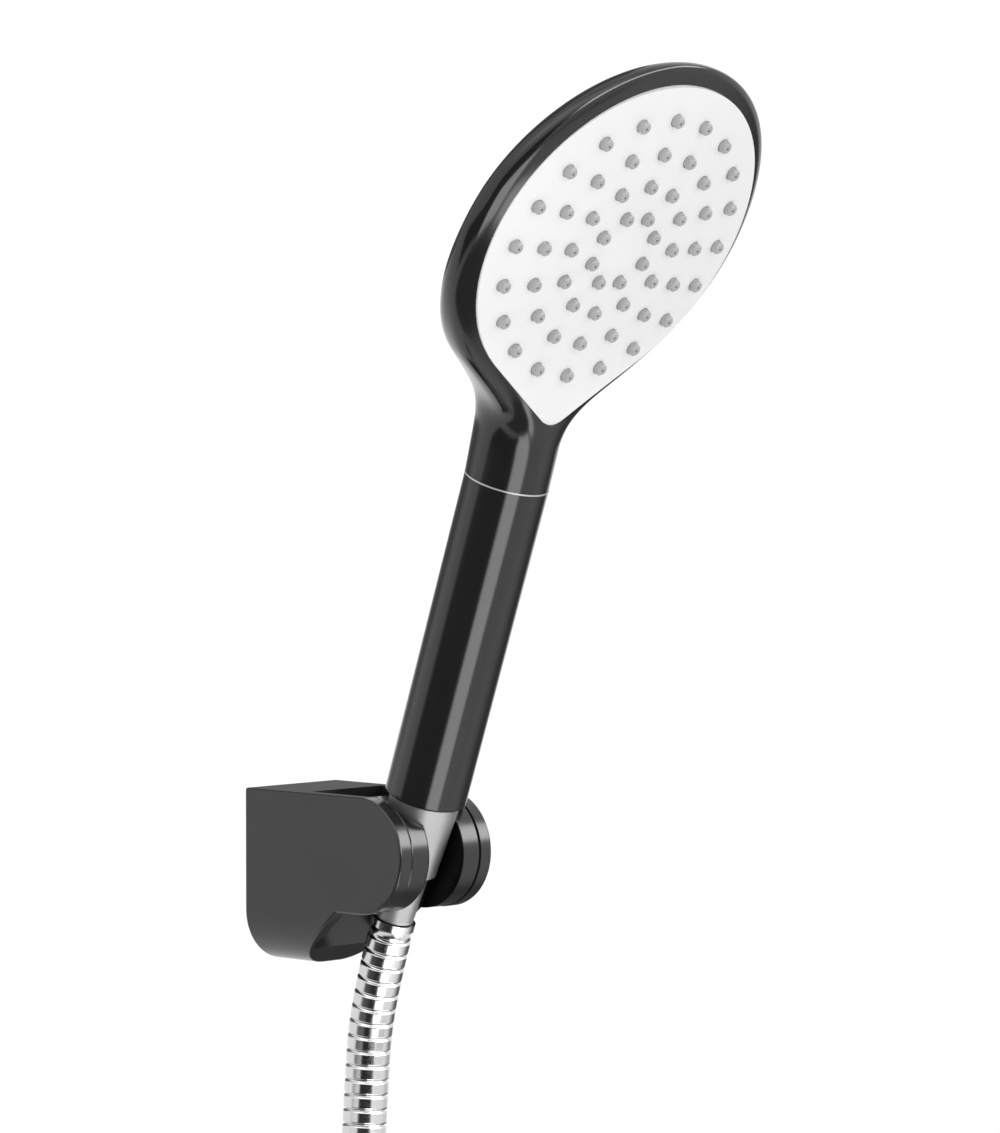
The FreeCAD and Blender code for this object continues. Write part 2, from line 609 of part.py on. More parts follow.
def holder_drum():
    """Drum across the bracket with the nut's conical bore and a slot that lets the hose in."""
    reach = size("drum_half_length")
    drum = cylinder(size("drum_radius"), -reach, reach, (0, 0), "X")
    drum = rounded(drum, [e for e in drum.Edges if e.Curve.TypeId == "Part::GeomCircle"],
                   size("drum_edge"))
    slope = (size("nut_top_radius") - size("nut_step_radius")) / (size("nut_top") - size("nut_step"))
    at = Vector(0, -size("bore_offset"), 0)
    low, high = -25, 25

    def bore_radius(height):
        return size("nut_top_radius") + size("bore_clearance") + slope * (height - size("nut_top"))

    bore = Part.makeCone(bore_radius(low), bore_radius(high), high - low, at + Vector(0, 0, low))
    mouth = Part.makeCone(12.0, 16.5, 4.5, at + Vector(0, 0, 14.5))
    slot = block(-size("slot_half_width"), size("slot_half_width"), -30, -size("bore_offset"), -25, 25)
    drum = drum.cut(bore).cut(mouth).cut(slot)
    for side in (-1, 1):
        hole = cylinder(size("pin_radius") + size("pin_clearance"), size("pin_inner") - 0.1, 20)
        recess = cylinder(size("washer_radius") + 0.1, reach - size("washer_recess"), 20)
        for cut in (hole, recess):
            cut.Placement = Placement(Vector(), Rotation(Vector(0, 1, 0), 90 * side))
            drum = drum.cut(cut)
    return drum


def rounded(solid, edges, radius):
    """The solid with those edges rounded."""
    return solid.makeFillet(radius, edges)


feature("holder_drum", holder_drum(), DRUM)


def both_sides(make):
    """A pair of pieces, one at each end of the drum."""
    pair = []
    for side in (-1, 1):
        piece = make()
        piece.Placement = Placement(Vector(), Rotation(Vector(0, 1, 0), 90 * side))
        pair.append(piece)
    return Part.makeCompound(pair)


drum_face = size("drum_half_length") - size("washer_recess")
washer_bore = size("pin_radius") + 0.08
feature("friction_washers", both_sides(lambda: ring(
    size("washer_radius"), washer_bore, drum_face, drum_face + size("washer_thickness"))), DRUM)
feature("spring_washers", both_sides(lambda: ring(
    size("washer_radius") - 0.6, washer_bore, size("arm_inner") - size("wave_thickness"),
    size("arm_inner"))), Placement(PIVOT, Rotation()))


def pivot_pin():
    """Shouldered pin from the arm into the drum; its head lies under the cover."""
    shank = cylinder(size("pin_radius"), size("pin_inner"), size("cover_inner"))
    head = cylinder(size("pin_head"), size("cover_inner") - size("pin_head_length"), size("cover_inner"))
    return shank.fuse(head).removeSplitter()


feature("pivot_pins", both_sides(pivot_pin), Placement(PIVOT, Rotation()))

# ---------------------------------------------------------------- bracket


def bracket_outside():
    """The whole outer form of base, lip and arms, with its edges rounded."""
    half, radius = size("bracket_half_width"), size("arm_radius")
    pivot, bottom = size("pivot_reach"), size("lip_bottom")
    lip, gusset, corner = size("lip_depth"), size("lip_gusset"), size("lip_corner")
    side = Part.Wire([
        Part.LineSegment(Vector(0, 0, radius), Vector(0, -pivot, radius)).toShape(),
        Part.Arc(Vector(0, -pivot, radius), Vector(0, -pivot - radius, 0), Vector(0, -pivot, -radius)).toShape(),
        Part.LineSegment(Vector(0, -pivot, -radius), Vector(0, -gusset, -radius)).toShape(),
        Part.LineSegment(Vector(0, -gusset, -radius), Vector(0, -lip, -bottom)).toShape(),
        Part.LineSegment(Vector(0, -lip, -bottom), Vector(0, 0, -bottom)).toShape(),
        Part.LineSegment(Vector(0, 0, -bottom), Vector(0, 0, radius)).toShape(),
    ])
    side.translate(Vector(-half, 0, 0))
    flank = Part.Face(side).extrude(Vector(2 * half, 0, 0))
    low = corner - bottom
    slant = corner * (1 - math.sqrt(0.5))
    front = Part.Wire([
        Part.LineSegment(Vector(-half, 0, low), Vector(-half, 0, radius)).toShape(),
        Part.LineSegment(Vector(-half, 0, radius), Vector(half, 0, radius)).toShape(),
        Part.LineSegment(Vector(half, 0, radius), Vector(half, 0, low)).toShape(),
        Part.Arc(Vector(half, 0, low), Vector(half - slant, 0, slant - bottom),
                 Vector(half - corner, 0, -bottom)).toShape(),
        Part.LineSegment(Vector(half - corner, 0, -bottom), Vector(corner - half, 0, -bottom)).toShape(),
        Part.Arc(Vector(corner - half, 0, -bottom), Vector(slant - half, 0, slant - bottom),
                 Vector(-half, 0, low)).toShape(),
    ])
    outline = Part.Face(front).extrude(Vector(0, -pivot - radius - 1, 0))
    form = flank.common(outline).removeSplitter()
    rim = [e for e in form.Edges
           if min(v.Y for v in e.Vertexes) < -0.5 and is_side_edge(e, half)]
    return rounded(form, rim, size("arm_edge"))


def is_side_edge(edge, half):
    """True for an edge that lies in one of the outer side planes."""
    return all(abs(abs(v.X) - half) < 1e-6 for v in edge.Vertexes)


OUTSIDE = bracket_outside()
COVER_LOW = -19.0


def cover_space(side):
    """The slab of the outer form that a side cover fills."""
    inner, half = size("cover_inner"), size("bracket_half_width")
    x0, x1 = sorted((side * inner, side * (half + 1)))
    return block(x0, x1, -80, 1, COVER_LOW, 40)


def pegs(side, radius):
    """Two pegs that hold a side cover on its arm."""
    x0, x1 = sorted((side * size("cover_inner"), side * (size("cover_inner") - size("peg_length"))))
    return [cylinder(radius, x0, x1, (-size("peg_reach"), z), "X")
            for z in (size("peg_upper"), size("peg_lower"))]


def bracket_body():
    """Base on the wall with its lip, two arms and a hollow back."""
    inner, depth = size("arm_inner"), size("base_depth")
    body = OUTSIDE.cut(cover_space(-1)).cut(cover_space(1))
    body = body.cut(block(-inner, inner, -90, -depth, -60, 60))
    wide, deep, rib = size("cavity_half_width"), size("cavity_depth"), size("rib_half_width")
    high = size("cavity_half_height")
    cavity = block(-wide, wide, -deep, 1, -high, high).cut(block(-rib, rib, -deep, 1, -high, high))
    for height in (size("screw_upper"), size("screw_lower")):
        cavity = cavity.cut(cylinder(size("boss_radius"), -90, 5, (0, height), "Y"))
    body = body.cut(cavity)
    for height in (size("screw_upper"), size("screw_lower")):
        body = body.cut(cylinder(size("screw_hole"), -90, 5, (0, height), "Y"))
        body = body.cut(cylinder(size("screw_head"), -90, -size("screw_floor"), (0, height), "Y"))
    for side in (-1, 1):
        hole = cylinder(size("pin_radius"), 0, 30)
        head = cylinder(size("pin_head"), size("cover_inner") - size("pin_head_length"), 30)
        for cut in (hole, head):
            cut.Placement = Placement(PIVOT, Rotation(Vector(0, 1, 0), 90 * side))
            body = body.cut(cut)
        for peg in pegs(side, size("peg_radius")):
            body = body.cut(peg)
    return body


feature("bracket_body", bracket_body())
for side, name in ((-1, "left_cover"), (1, "right_cover")):
    feature(name, OUTSIDE.common(cover_space(side)).multiFuse(pegs(side, size("peg_radius"))))

# ---------------------------------------------------------------- check and write
doc.recompute()
for thing in doc.Objects:
    if {"Invalid", "Error"} & set(thing.State):
        raise RuntimeError("%s is %s" % (thing.Name, thing.State))
for name, thing in NODES.items():
    shape = thing.Shape
    if shape.isNull() or not shape.isValid() or not shape.Solids:
        raise RuntimeError("%s has no valid solid" % name)
    print("%-20s solids %d volume %9.1f" % (name, len(shape.Solids), shape.Volume))
for name, thing in NODES.items():
    thing.Shape.exportStep("parts/%s.step" % name)
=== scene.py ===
"""Looks of a hand shower parked in its wall bracket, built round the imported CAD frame. Metres."""

import json
import math

import bmesh
import bpy
from mathutils import Matrix, Vector


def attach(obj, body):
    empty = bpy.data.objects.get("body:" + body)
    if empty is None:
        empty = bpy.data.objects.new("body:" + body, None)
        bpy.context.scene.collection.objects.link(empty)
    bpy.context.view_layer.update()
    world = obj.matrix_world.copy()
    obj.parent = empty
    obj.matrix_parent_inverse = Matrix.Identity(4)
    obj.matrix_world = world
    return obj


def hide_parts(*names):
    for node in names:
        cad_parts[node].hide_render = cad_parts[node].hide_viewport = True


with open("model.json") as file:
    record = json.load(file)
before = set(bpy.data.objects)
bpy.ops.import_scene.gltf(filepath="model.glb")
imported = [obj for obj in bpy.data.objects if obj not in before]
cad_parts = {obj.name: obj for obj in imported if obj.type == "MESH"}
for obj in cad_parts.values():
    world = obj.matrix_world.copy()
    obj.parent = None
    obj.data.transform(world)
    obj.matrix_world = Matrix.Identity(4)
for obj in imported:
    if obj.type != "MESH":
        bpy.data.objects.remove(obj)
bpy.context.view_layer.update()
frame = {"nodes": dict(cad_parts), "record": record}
NODES = frame["nodes"]

# ---------------------------------------------------------------- camera
AZIMUTH, ELEVATION = math.radians(-46), math.radians(3)
RIGHT = Vector((math.cos(AZIMUTH), math.sin(AZIMUTH), 0))
BACK = Vector((math.sin(AZIMUTH) * math.cos(ELEVATION), -math.cos(AZIMUTH) * math.cos(ELEVATION),
               math.sin(ELEVATION)))
UP = BACK.cross(RIGHT)
TOWARD = Vector((BACK.x, BACK.y, 0)).normalized()       # level, from the object to the camera
CENTRE_RIGHT, CENTRE_UP, DISTANCE = 0.0671, 0.0885, 1.9355
LENS = 190.6


def add_camera():
    """A long lens, from the left of the wall's normal and a little above."""
    data = bpy.data.cameras.new("camera")
    data.lens = LENS
    data.sensor_width = 36
    data.clip_end = 60
    camera = bpy.data.objects.new("camera", data)
    place = RIGHT * CENTRE_RIGHT + UP * CENTRE_UP + BACK * DISTANCE
    turn = Matrix((RIGHT, UP, BACK)).transposed().to_4x4()
    camera.matrix_world = Matrix.Translation(place) @ turn
    bpy.context.scene.collection.objects.link(camera)
    bpy.context.scene.camera = camera


add_camera()
bpy.context.scene.view_settings.view_transform = "Standard"


# ---------------------------------------------------------------- node helpers
class Tree:
    """A node tree with short calls for its nodes and links."""

    def __init__(self, tree):
        self.tree = tree
        tree.nodes.clear()

    def add(self, kind, settings=None, **inputs):
        """A node with its settings and its inputs, each a value or another node's output."""
        node = self.tree.nodes.new("ShaderNode" + kind)
        for key, value in (settings or {}).items():
            setattr(node, key, value)
        for key, value in inputs.items():
            socket = node.inputs[int(key[1:])] if key[0] == "i" and key[1:].isdigit() else node.inputs[
                key.replace("_", " ")]
            if isinstance(value, bpy.types.NodeSocket):
                self.tree.links.new(value, socket)
            else:
                socket.default_value = value
        return node

    def math(self, operation, a, b=0.0, c=0.0):
        """The result of one math operation."""
        return self.add("Math", {"operation": operation}, i0=a, i1=b, i2=c).outputs[0]

    def ramp(self, value, low, high, start=0.0, end=1.0):
        """A smooth step of value from low to high."""
        node = self.add("MapRange", {"interpolation_type": "SMOOTHSTEP"})
        for index, entry in enumerate((value, low, high, start, end)):
            if isinstance(entry, bpy.types.NodeSocket):
                self.tree.links.new(entry, node.inputs[index])
            else:
                node.inputs[index].default_value = entry
        return node.outputs[0]


# ---------------------------------------------------------------- studio
ROOM = 1.05             # brightness of the pale room
FLOOR_HALF, FLOOR_LEVEL = 30.0, -0.46
LIT_POINT = Vector((0, -0.1, 0.1))
# what gloss sees: angles right of the camera, heights, how much the heights rise per degree of turn,
# softness of the sides and of the ends, brightness
WINDOWS = [
    ((-230, -118), (0.5, 60), 0.0, (16, 1.5), 0.2),
    ((112, 230), (-60, -11.5), 0.0, (24, 2), 0.12),
    ((-80, 95), (-95, -51), 0.0, (10, 4), 0.15),
    ((-77, -1), (-47, -19), -0.19, (5, 2.5), 0.03),
    ((1, 39), (-48, -25), 0.0, (4, 1.5), 4.7),
    ((46, 100), (-50, -41), 0.0, (6, 2), 4.5),
    ((-36, 30), (-24, 8), 0.0, (3, 1.5), 0.02),
    ((34, 80), (-25, -19), 0.0, (4, 2), 0.6),
    ((34, 106), (-6, 14), 0.19, (4, 2), 8.5),
    ((-60, 60), (32, 75), 0.0, (20, 12), 2.2),
]


def add_studio():
    """A pale room, with softboxes and dark flags that only gloss sees."""
    world = bpy.data.worlds.new("room")
    bpy.context.scene.world = world
    world.use_nodes = True
    t = Tree(world.node_tree)
    ray = t.add("TexCoord").outputs["Generated"]

    def along(axis):
        return t.add("VectorMath", {"operation": "DOT_PRODUCT"}, i0=ray, i1=axis).outputs["Value"]

    turn = t.math("DEGREES", t.math("ARCTAN2", along(RIGHT), along(TOWARD)))
    height = t.math("DEGREES", t.math("ARCSINE", along(Vector((0, 0, 1)))))
    light = ROOM
    for (left, right), (low, high), rise, (soft_turn, soft_height), brightness in WINDOWS:
        level_height = t.math("MULTIPLY_ADD", turn, -rise, height)
        inside = t.math("MULTIPLY", t.ramp(turn, left - soft_turn, left + soft_turn),
                        t.ramp(turn, right - soft_turn, right + soft_turn, 1.0, 0.0))
        level = t.math("MULTIPLY", t.ramp(level_height, low - soft_height, low + soft_height),
                       t.ramp(level_height, high - soft_height, high + soft_height, 1.0, 0.0))
        share = t.math("MULTIPLY", inside, level)
        step = t.math("SUBTRACT", brightness, light)
        light = t.math("MULTIPLY_ADD", step, share, light)
    glossy = t.add("LightPath").outputs["Is Glossy Ray"]
    strength = t.math("MULTIPLY_ADD", t.math("SUBTRACT", light, ROOM), glossy, ROOM)
    shade = t.add("Background", Color=(1, 1, 1, 1), Strength=strength)
    t.add("OutputWorld", Surface=shade.outputs[0])


def add_floor():
    """A plain pale floor, well below the hose."""
    mesh = bpy.data.meshes.new("floor")
    half, level = FLOOR_HALF, FLOOR_LEVEL
    mesh.from_pydata([(-half, -half, level), (half, -half, level), (half, half, level), (-half, half, level)],
                     [], [(0, 1, 2, 3)])
    floor = bpy.data.objects.new("floor", mesh)
    bpy.context.scene.collection.objects.link(floor)
    floor.visible_glossy = False
    material = bpy.data.materials.new("floor_pale")
    material.use_nodes = True
    t = Tree(material.node_tree)
    place = t.add("NewGeometry").outputs["Position"]
    grain = t.add("TexNoise", Vector=place, Scale=3.0, Detail=2.0).outputs["Fac"]
    colour = t.add("ValToRGB", i0=grain)
    colour.color_ramp.elements[0].color = (0.96, 0.96, 0.96, 1)
    colour.color_ramp.elements[1].color = (0.98, 0.98, 0.98, 1)
    shade = t.add("BsdfPrincipled", Base_Color=colour.outputs[0], Roughness=0.9)
    t.add("OutputMaterial", Surface=shade.outputs[0])
    mesh.materials.append(material)


def add_light(name, turn, height, distance, width, tall, power):
    """A softbox that looks at the middle of the hand shower."""
    data = bpy.data.lights.new(name, "AREA")
    data.shape = "RECTANGLE"
    data.size, data.size_y, data.energy = width, tall, power
    light = bpy.data.objects.new(name, data)
    a, e = math.radians(turn), math.radians(height)
    out = (TOWARD * math.cos(a) + RIGHT * math.sin(a)) * math.cos(e) + Vector((0, 0, math.sin(e)))
    light.location = LIT_POINT + out * distance
    light.rotation_euler = out.to_track_quat("Z", "Y").to_euler()
    light.visible_glossy = False
    bpy.context.scene.collection.objects.link(light)


add_studio()
add_floor()
add_light("key", turn=55, height=35, distance=2.2, width=1.6, tall=1.6, power=2.0)


# ---------------------------------------------------------------- materials
BROAD_SCALE = 28.0      # of the slow drift in colour and gloss
SLOT_SHADE_EDGE = 0.0003    # how softly the painted shade in the drum's slot starts, in metres
# painted shade: the near-black colour of the drum's slot walls, and how much their gloss is dulled
SLOT_SHADE_COLOUR, SLOT_SHADE_DIM = (0.002, 0.002, 0.002, 1), 0.45


def surface(name, colour, roughness, metallic=0.0, grain=900.0, depth=0.00002, mottle=0.04, scuff=0.05,
            stretch=(1, 1, 1), slot_shade_width=None):
    """A finish with fine grain in its height, and a little drift in its colour and gloss.

    A piece given a slot width has painted shade in its slot: near black and dull, nearer to the middle plane
    than that width."""
    material = bpy.data.materials.new(name)
    material.use_nodes = True
    t = Tree(material.node_tree)
    place = t.add("TexCoord").outputs["Object"]
    along = t.add("Mapping", Vector=place, Scale=stretch).outputs[0]
    fine = t.add("TexNoise", Vector=along, Scale=grain, Detail=3.0).outputs["Fac"]
    broad = t.add("TexNoise", Vector=place, Scale=BROAD_SCALE, Detail=4.0).outputs["Fac"]
    other = tuple(c * (1 - 2 * mottle) for c in colour)
    mix = t.add("Mix", {"data_type": "RGBA"}, Factor=t.ramp(broad, 0.3, 0.7))
    mix.inputs[6].default_value = (*colour, 1)
    mix.inputs[7].default_value = (*other, 1)
    rough = t.ramp(t.math("MULTIPLY_ADD", fine, 0.4, t.math("MULTIPLY", broad, 0.6)), 0.3, 0.7,
                   roughness - scuff / 2, roughness + scuff / 2)
    bump = t.add("Bump", Strength=1.0, Distance=depth, Height=fine)
    shade = t.add("BsdfPrincipled", Base_Color=mix.outputs[2], Roughness=rough, Normal=bump.outputs[0])
    shade.inputs["Metallic"].default_value = metallic
    # painted shade: the slot's walls turn near black and dull, standing in for the shade inside the slot
    if slot_shade_width:
        across = t.math("ABSOLUTE", t.add("SeparateXYZ", Vector=place).outputs[0])
        inside = t.ramp(across, slot_shade_width, slot_shade_width + SLOT_SHADE_EDGE, 1.0, 0.0)
        inner = t.add("Mix", {"data_type": "RGBA"}, Factor=inside)
        t.tree.links.new(mix.outputs[2], inner.inputs[6])
        inner.inputs[7].default_value = SLOT_SHADE_COLOUR
        t.tree.links.new(inner.outputs[2], shade.inputs["Base Color"])
        shine = t.math("MULTIPLY_ADD", inside, -SLOT_SHADE_DIM, 0.5)
        t.tree.links.new(shine, shade.inputs["Specular IOR Level"])
    t.add("OutputMaterial", Surface=shade.outputs[0])
    return material


FINISHES = {
    "shell_plastic": surface("gloss_anthracite", (0.0130, 0.0132, 0.0135), 0.13, grain=1400, depth=0.000004,
                             scuff=0.04, mottle=0.08),
    "bracket_plastic": surface("bracket_anthracite", (0.0170, 0.0170, 0.0172), 0.2, grain=1600, depth=0.000006,
                               scuff=0.05, mottle=0.08),
    # the drum's slot walls are painted dark as shade, within 7.8 mm of its middle plane
    "drum_plastic": surface("drum_anthracite", (0.0150, 0.0150, 0.0152), 0.2, grain=1600, depth=0.000003,
                            scuff=0.05, mottle=0.08, slot_shade_width=0.0078),
    "plate_plastic": surface("plate_white", (0.86, 0.86, 0.86), 0.34, grain=1800, depth=0.000006, mottle=0.006),
    "nozzle_silicone": surface("nozzle_grey", (0.42, 0.42, 0.425), 0.5, grain=2600, depth=0.00001, mottle=0.03),
    "inner_plastic": surface("acetal_natural", (0.72, 0.71, 0.68), 0.45, grain=900, depth=0.00001),
    "screw_steel": surface("steel_bright", (0.60, 0.60, 0.61), 0.3, 1.0, grain=1500, depth=0.000008),
    "seal_rubber": surface("rubber_black", (0.018, 0.018, 0.018), 0.6, grain=1800, depth=0.00002),
    "ring_satin": surface("ring_satin", (0.50, 0.50, 0.51), 0.4, 0.4, grain=2400, depth=0.000004),
    "nut_chrome": surface("satin_chrome", (0.40, 0.40, 0.405), 0.46, 0.9, grain=700, depth=0.000004,
                          stretch=(1, 1, 6)),
    "hose_metal": surface("hose_chrome", (0.68, 0.68, 0.685), 0.19, 1.0, grain=1200, depth=0.000004),
    "waterway_brass": surface("brass_turned", (0.66, 0.50, 0.26), 0.3, 1.0, grain=900, depth=0.00001,
                              stretch=(1, 1, 8)),
    "tie_plastic": surface("tie_black", (0.02, 0.02, 0.021), 0.5, grain=1200, depth=0.00002),
}
for part in frame["record"]["subparts"]:
    node = NODES[part["node"]]
    node.data.materials.clear()
    node.data.materials.append(FINISHES[part["material_slot"]])


# ---------------------------------------------------------------- meshes
def smooth_object(name, bm, material):
    """A smooth shaded object made from a bmesh."""
    bmesh.ops.recalc_face_normals(bm, faces=bm.faces)
    mesh = bpy.data.meshes.new(name)
    bm.to_mesh(mesh)
    bm.free()
    for face in mesh.polygons:
        face.use_smooth = True
    mesh.materials.append(material)
    piece = bpy.data.objects.new(name, mesh)
    bpy.context.scene.collection.objects.link(piece)
    return piece


def skin(bm, rings):
    """Faces between each ring of vertices and the next, and over both ends."""
    count = len(rings[0])
    for before, after in zip(rings, rings[1:]):
        for i in range(count):
            j = (i + 1) % count
            bm.faces.new((before[i], before[j], after[j], after[i]))
    bm.faces.new(rings[0][::-1])
    bm.faces.new(rings[-1])


# ---------------------------------------------------------------- head shell
# in mm in the plate's frame: x across, y back from the face, z up along it
LEAN, PLATE_LEAN = math.radians(19.5), math.radians(31.5)
HEAD_RADIUS, HEAD_RISE = 59.9, 1.9
NECK_START, NECK_RADIUS = -86.5, 13.45
PLATE_CENTRE = Vector((0, -0.145, 0.1902))      # in metres in the room
# (height, depth) of the back, of the widest line and of the front
BACK_LINE = [(NECK_START, 17.43), (-70, 23.4), (-50, 33.0), (-20, 26.9), (10, 20.5), (62, 20.5)]
NECK_AXIS = [(NECK_START, 4.27), (-70, 7.78), (-52, 9.8), (-38, 10.7), (HEAD_RISE, 10.7),
             (HEAD_RISE + HEAD_RADIUS, 6.0)]
FRONT_LINE = [(NECK_START, -8.89), (-75, -6.3), (-64, -3.5), (-54, -0.9), (-44, 0.5), (-34, 0.9), (0, 0.3)]
SHOULDER = math.radians(53.3)
NECK_BLEND = 3.3        # how softly the head's width runs into the neck's
CROWN_POWER = 2.16      # how squarely the depth closes over the top
TILT_START = -50        # below this the rings turn from the plate's lean to the handle's
SQUARE_LOW, SQUARE_HIGH = -70, -48              # between these the rings grow squarer
BACK_SQUARE, FRONT_SQUARE = 0.16, 0.9
HEAD_AROUND, NECK_RINGS, CROWN_RINGS = 144, 70, 47
CROWN_REACH = math.radians(89.4)
PLATE_RADIUS, PLATE_RISE = 54, 2.0
TIP_RADIUS, TIP_HEIGHT, TIP_STEPS = 8, -53.5, 12
FACE_BOW, FACE_DROP = 0.0013, 0.0007            # the face falls back by these times x and z squared
TIP_START, TIP_BOW = -30, 0.0052                # and comes forward again below this height
SEAT_GAP, SEAT_DEPTH, SEAT_MIDDLE, CUT_AHEAD = 0.12, 1.9, 4.0, -30
SHARP = math.radians(32)


def eased(x, table):
    """A monotone cubic through (x, value) pairs."""
    xs, ys = [p[0] for p in table], [p[1] for p in table]
    if x <= xs[0] or x >= xs[-1]:
        return ys[0] if x <= xs[0] else ys[-1]
    slopes = [(ys[i + 1] - ys[i]) / (xs[i + 1] - xs[i]) for i in range(len(xs) - 1)]
    ends = [slopes[0]]
    ends += [0.0 if p * q <= 0 else 2 * p * q / (p + q) for p, q in zip(slopes, slopes[1:])]
    ends.append(slopes[-1])
    i = max(k for k in range(len(xs) - 1) if xs[k] <= x)
    width = xs[i + 1] - xs[i]
    u = (x - xs[i]) / width
    return (ys[i] * (2 * u**3 - 3 * u**2 + 1) + ys[i + 1] * (3 * u**2 - 2 * u**3)
            + width * (ends[i] * (u**3 - 2 * u**2 + u) + ends[i + 1] * (u**3 - u**2)))


def head_width(z):
    """Half the head's width at a height on the plate's axis, in mm."""
    above = z - HEAD_RISE
    if above > -HEAD_RADIUS * math.sin(SHOULDER):
        width = math.sqrt(max(HEAD_RADIUS**2 - above**2, 0.0))
        if above > 0:
            return width
    else:
        width = (above + HEAD_RADIUS / math.sin(SHOULDER)) * math.tan(SHOULDER)
    high = max(width, NECK_RADIUS)
    both = math.exp((width - high) / NECK_BLEND) + math.exp((NECK_RADIUS - high) / NECK_BLEND)
    return high + NECK_BLEND * math.log(both)


def head_ring(z, steps):
    """Points round the head at a height, in mm in the plate's frame."""
    over = max((z - HEAD_RISE) / HEAD_RADIUS, 0.0)
    crown = (1 - min(over, 1.0)**CROWN_POWER)**(1 / CROWN_POWER)
    middle = eased(z, NECK_AXIS)
    back, front = (eased(z, BACK_LINE) - middle) * crown, (middle - eased(z, FRONT_LINE)) * crown
    tilt = (PLATE_LEAN - LEAN) * min(max((TILT_START - z) / (TILT_START - NECK_START), 0), 1)
    square = min(max((z - SQUARE_LOW) / (SQUARE_HIGH - SQUARE_LOW), 0), 1)
    width = head_width(z)
    for k in range(steps):
        c, s = math.cos(2 * math.pi * k / steps), math.sin(2 * math.pi * k / steps)
        power, reach = (2 + BACK_SQUARE * square, back) if s >= 0 else (2 + FRONT_SQUARE * square, front)
        y = reach * math.copysign(abs(s)**(2 / power), s)
        yield Vector((width * math.copysign(abs(c)**(2 / power), c), middle + y, z - math.tan(tilt) * y))


def on_plate(point):
    """A point in mm in the plate's frame, in metres in the room."""
    turned = Matrix.Rotation(PLATE_LEAN, 3, "X") @ (point / 1000)
    return turned + PLATE_CENTRE


def face_back(x, z):
    """How far the plate's face lies behind its centre, in mm."""
    below = min(z - TIP_START, 0.0)
    return FACE_BOW * x * x + FACE_DROP * z * z - TIP_BOW * below * below


def teardrop_outline(grow, steps=90):
    """The plate's outline, in mm: a circle, two tangents and a rounded tip."""
    big, small = PLATE_RADIUS + grow, TIP_RADIUS + grow
    half = math.asin((big - small) / (PLATE_RISE - TIP_HEIGHT))
    points = []
    for k in range(steps + 1):
        a = -half + (math.pi + 2 * half) * k / steps
        points.append((big * math.cos(a), PLATE_RISE + big * math.sin(a)))
    for k in range(TIP_STEPS + 1):
        a = math.pi + half + (math.pi - 2 * half) * k / TIP_STEPS
        points.append((small * math.cos(a), TIP_HEIGHT + small * math.sin(a)))
    return points


def seat_cutter():
    """The space that the plate sits in, open to the front."""
    bm = bmesh.new()
    outline = teardrop_outline(SEAT_GAP)
    ahead = [bm.verts.new(on_plate(Vector((x, CUT_AHEAD, z)))) for x, z in outline]
    behind = [bm.verts.new(on_plate(Vector((x, face_back(x, z) + SEAT_DEPTH, z)))) for x, z in outline]
    middle = bm.verts.new(on_plate(Vector((0, SEAT_MIDDLE, 0))))
    for i in range(len(outline)):
        j = (i + 1) % len(outline)
        bm.faces.new((ahead[i], ahead[j], behind[j], behind[i]))
        bm.faces.new((behind[i], behind[j], middle))
    bm.faces.new(ahead[::-1])
    return smooth_object("seat_cutter", bm, FINISHES["shell_plastic"])


def build_head():
    """The head and neck in one smooth skin, with the seat for the plate sunk into its front."""
    neck = [NECK_START + (HEAD_RISE - NECK_START) * k / NECK_RINGS for k in range(NECK_RINGS)]
    angles = [CROWN_REACH * k / (CROWN_RINGS - 1) for k in range(CROWN_RINGS)]
    crown = [HEAD_RISE + HEAD_RADIUS * math.sin(angle) for angle in angles]
    bm = bmesh.new()
    skin(bm, [[bm.verts.new(on_plate(p)) for p in head_ring(z, HEAD_AROUND)] for z in neck + crown])
    head = smooth_object("head_skin", bm, FINISHES["shell_plastic"])
    tool = seat_cutter()
    cut = head.modifiers.new("seat", "BOOLEAN")
    cut.operation, cut.object, cut.solver = "DIFFERENCE", tool, "EXACT"
    settled = bpy.data.meshes.new_from_object(head.evaluated_get(bpy.context.evaluated_depsgraph_get()))
    head.modifiers.clear()
    head.data = settled
    bpy.data.objects.remove(tool)
    settled.set_sharp_from_angle(angle=SHARP)
    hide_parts("head_shell")
    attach(head, "handset")


# ---------------------------------------------------------------- hose
HOSE_RADIUS = 0.0071
ROOT = Vector((0.0, -0.0444766, -0.0273227))
RUN = [(0.0, -0.0364, -0.0502), (0.0, -0.0338, -0.078), (-0.002, -0.0338, -0.106), (-0.013, -0.034, -0.136),
       (-0.028, -0.034, -0.167)]
COIL_CENTRE = Vector((0.038, -0.034, -0.204))
COIL_RADIUS, COIL_TURNS, TURN_PITCH, TAIL = 0.072, 3, 0.0146, 0.062
STEPS = 16              # route points in each turn of the coil


def hose_route():
    """The hose's control points, from its root through the coil to the supply end."""
    points = [ROOT] + [Vector(p) for p in RUN]
    for k in range(COIL_TURNS * STEPS + 1):
        angle = math.pi + 2 * math.pi * k / STEPS
        points.append(COIL_CENTRE + Vector((COIL_RADIUS * math.cos(angle), -TURN_PITCH * k / STEPS,
                                            COIL_RADIUS * math.sin(angle))))
    end = points[-1]
    return points + [end - Vector((0, 0, TAIL / 2)), end - Vector((0, 0, TAIL))]


def smooth_line(points):
    """The points of the smooth curve that the route's points control."""
    curve = bpy.data.curves.new("route", "CURVE")
    curve.dimensions = "3D"
    curve.resolution_u = 12
    spline = curve.splines.new("NURBS")
    spline.points.add(len(points) - 1)
    for entry, point in zip(spline.points, points):
        entry.co = (*point, 1)
    spline.order_u = 3
    spline.use_endpoint_u = True
    holder = bpy.data.objects.new("route", curve)
    mesh = bpy.data.meshes.new_from_object(holder)
    line = [v.co.copy() for v in mesh.vertices]
    bpy.data.objects.remove(holder)
    bpy.data.meshes.remove(mesh)
    return line


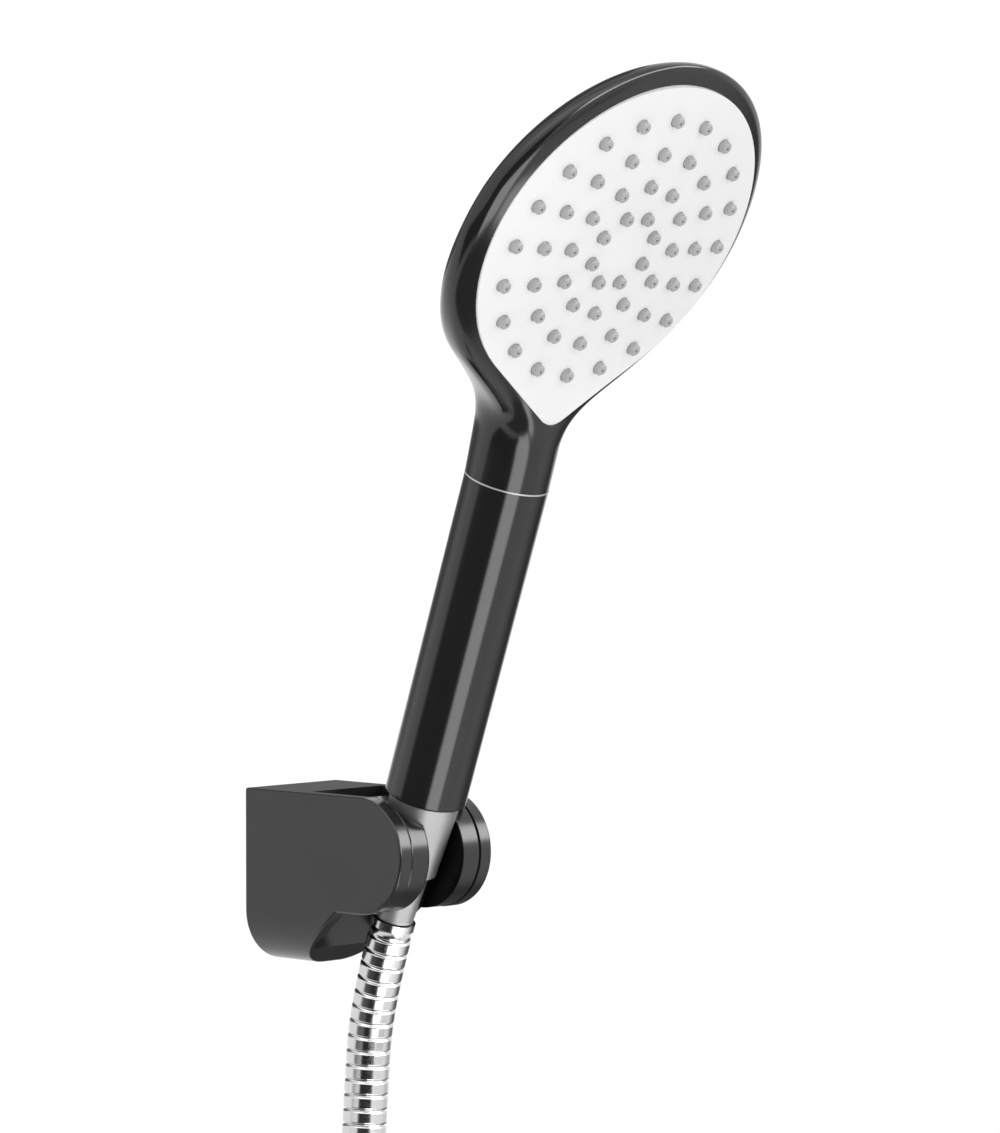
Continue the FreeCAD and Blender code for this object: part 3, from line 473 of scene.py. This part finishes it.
def spaced(line, gap):
    """Points at an even gap along a line, with the direction there."""
    stations, travelled, at = [], 0.0, 0.0
    for a, b in zip(line, line[1:]):
        step = (b - a).length
        if step < 1e-9:
            continue
        while at <= travelled + step:
            stations.append((a.lerp(b, (at - travelled) / step), (b - a).normalized()))
            at += gap
        travelled += step
    return stations


# one wrap of the hose's wound strip: share of the pitch and radius
WRAP = [(0.00, 0.90), (0.06, 0.975), (0.12, 1.0), (0.17, 1.0), (0.75, 1.0), (0.80, 1.0), (0.87, 0.975),
        (0.93, 0.90)]
WRAP_PITCH = 0.0048
AROUND = 40             # vertices round the hose
SAMPLES = 50            # stations along each wrap
# the rounded start of the hose, inside the nut: how far back each ring lies, and the dome's radius
DOME_BACK, DOME_RADIUS = (0.0045, 0.0034, 0.0020, 0.0008), 0.97 * HOSE_RADIUS


def circle(bm, centre, ahead, across, radius):
    """A ring of vertices round the hose's line."""
    other = ahead.cross(across)
    angles = [2 * math.pi * i / AROUND for i in range(AROUND)]
    return [bm.verts.new(centre + (across * math.cos(a) + other * math.sin(a)) * radius) for a in angles]


def build_hose():
    """The wound metal hose: a tube whose radius steps with each wrap of its strip."""
    line = smooth_line(hose_route())
    length = sum((b - a).length for a, b in zip(line, line[1:]))
    wraps = int(length / WRAP_PITCH)
    stations = spaced(line, WRAP_PITCH / SAMPLES)
    bm = bmesh.new()
    start, ahead = stations[0]
    across = ahead.orthogonal().normalized()
    rings = [circle(bm, start - ahead * back, ahead, across, math.sqrt(DOME_RADIUS**2 - back**2))
             for back in DOME_BACK]
    for k in range(wraps):
        for share, factor in WRAP:
            centre, ahead = stations[min(round((k + share) * SAMPLES), len(stations) - 1)]
            across = (across - ahead * across.dot(ahead)).normalized()
            rings.append(circle(bm, centre, ahead, across, HOSE_RADIUS * factor))
    skin(bm, rings)
    hose = smooth_object("metal_hose", bm, FINISHES["hose_metal"])
    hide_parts("hose_run", "hose_coil", "hose_tail")
    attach(hose, "hose")


build_head()
build_hose()
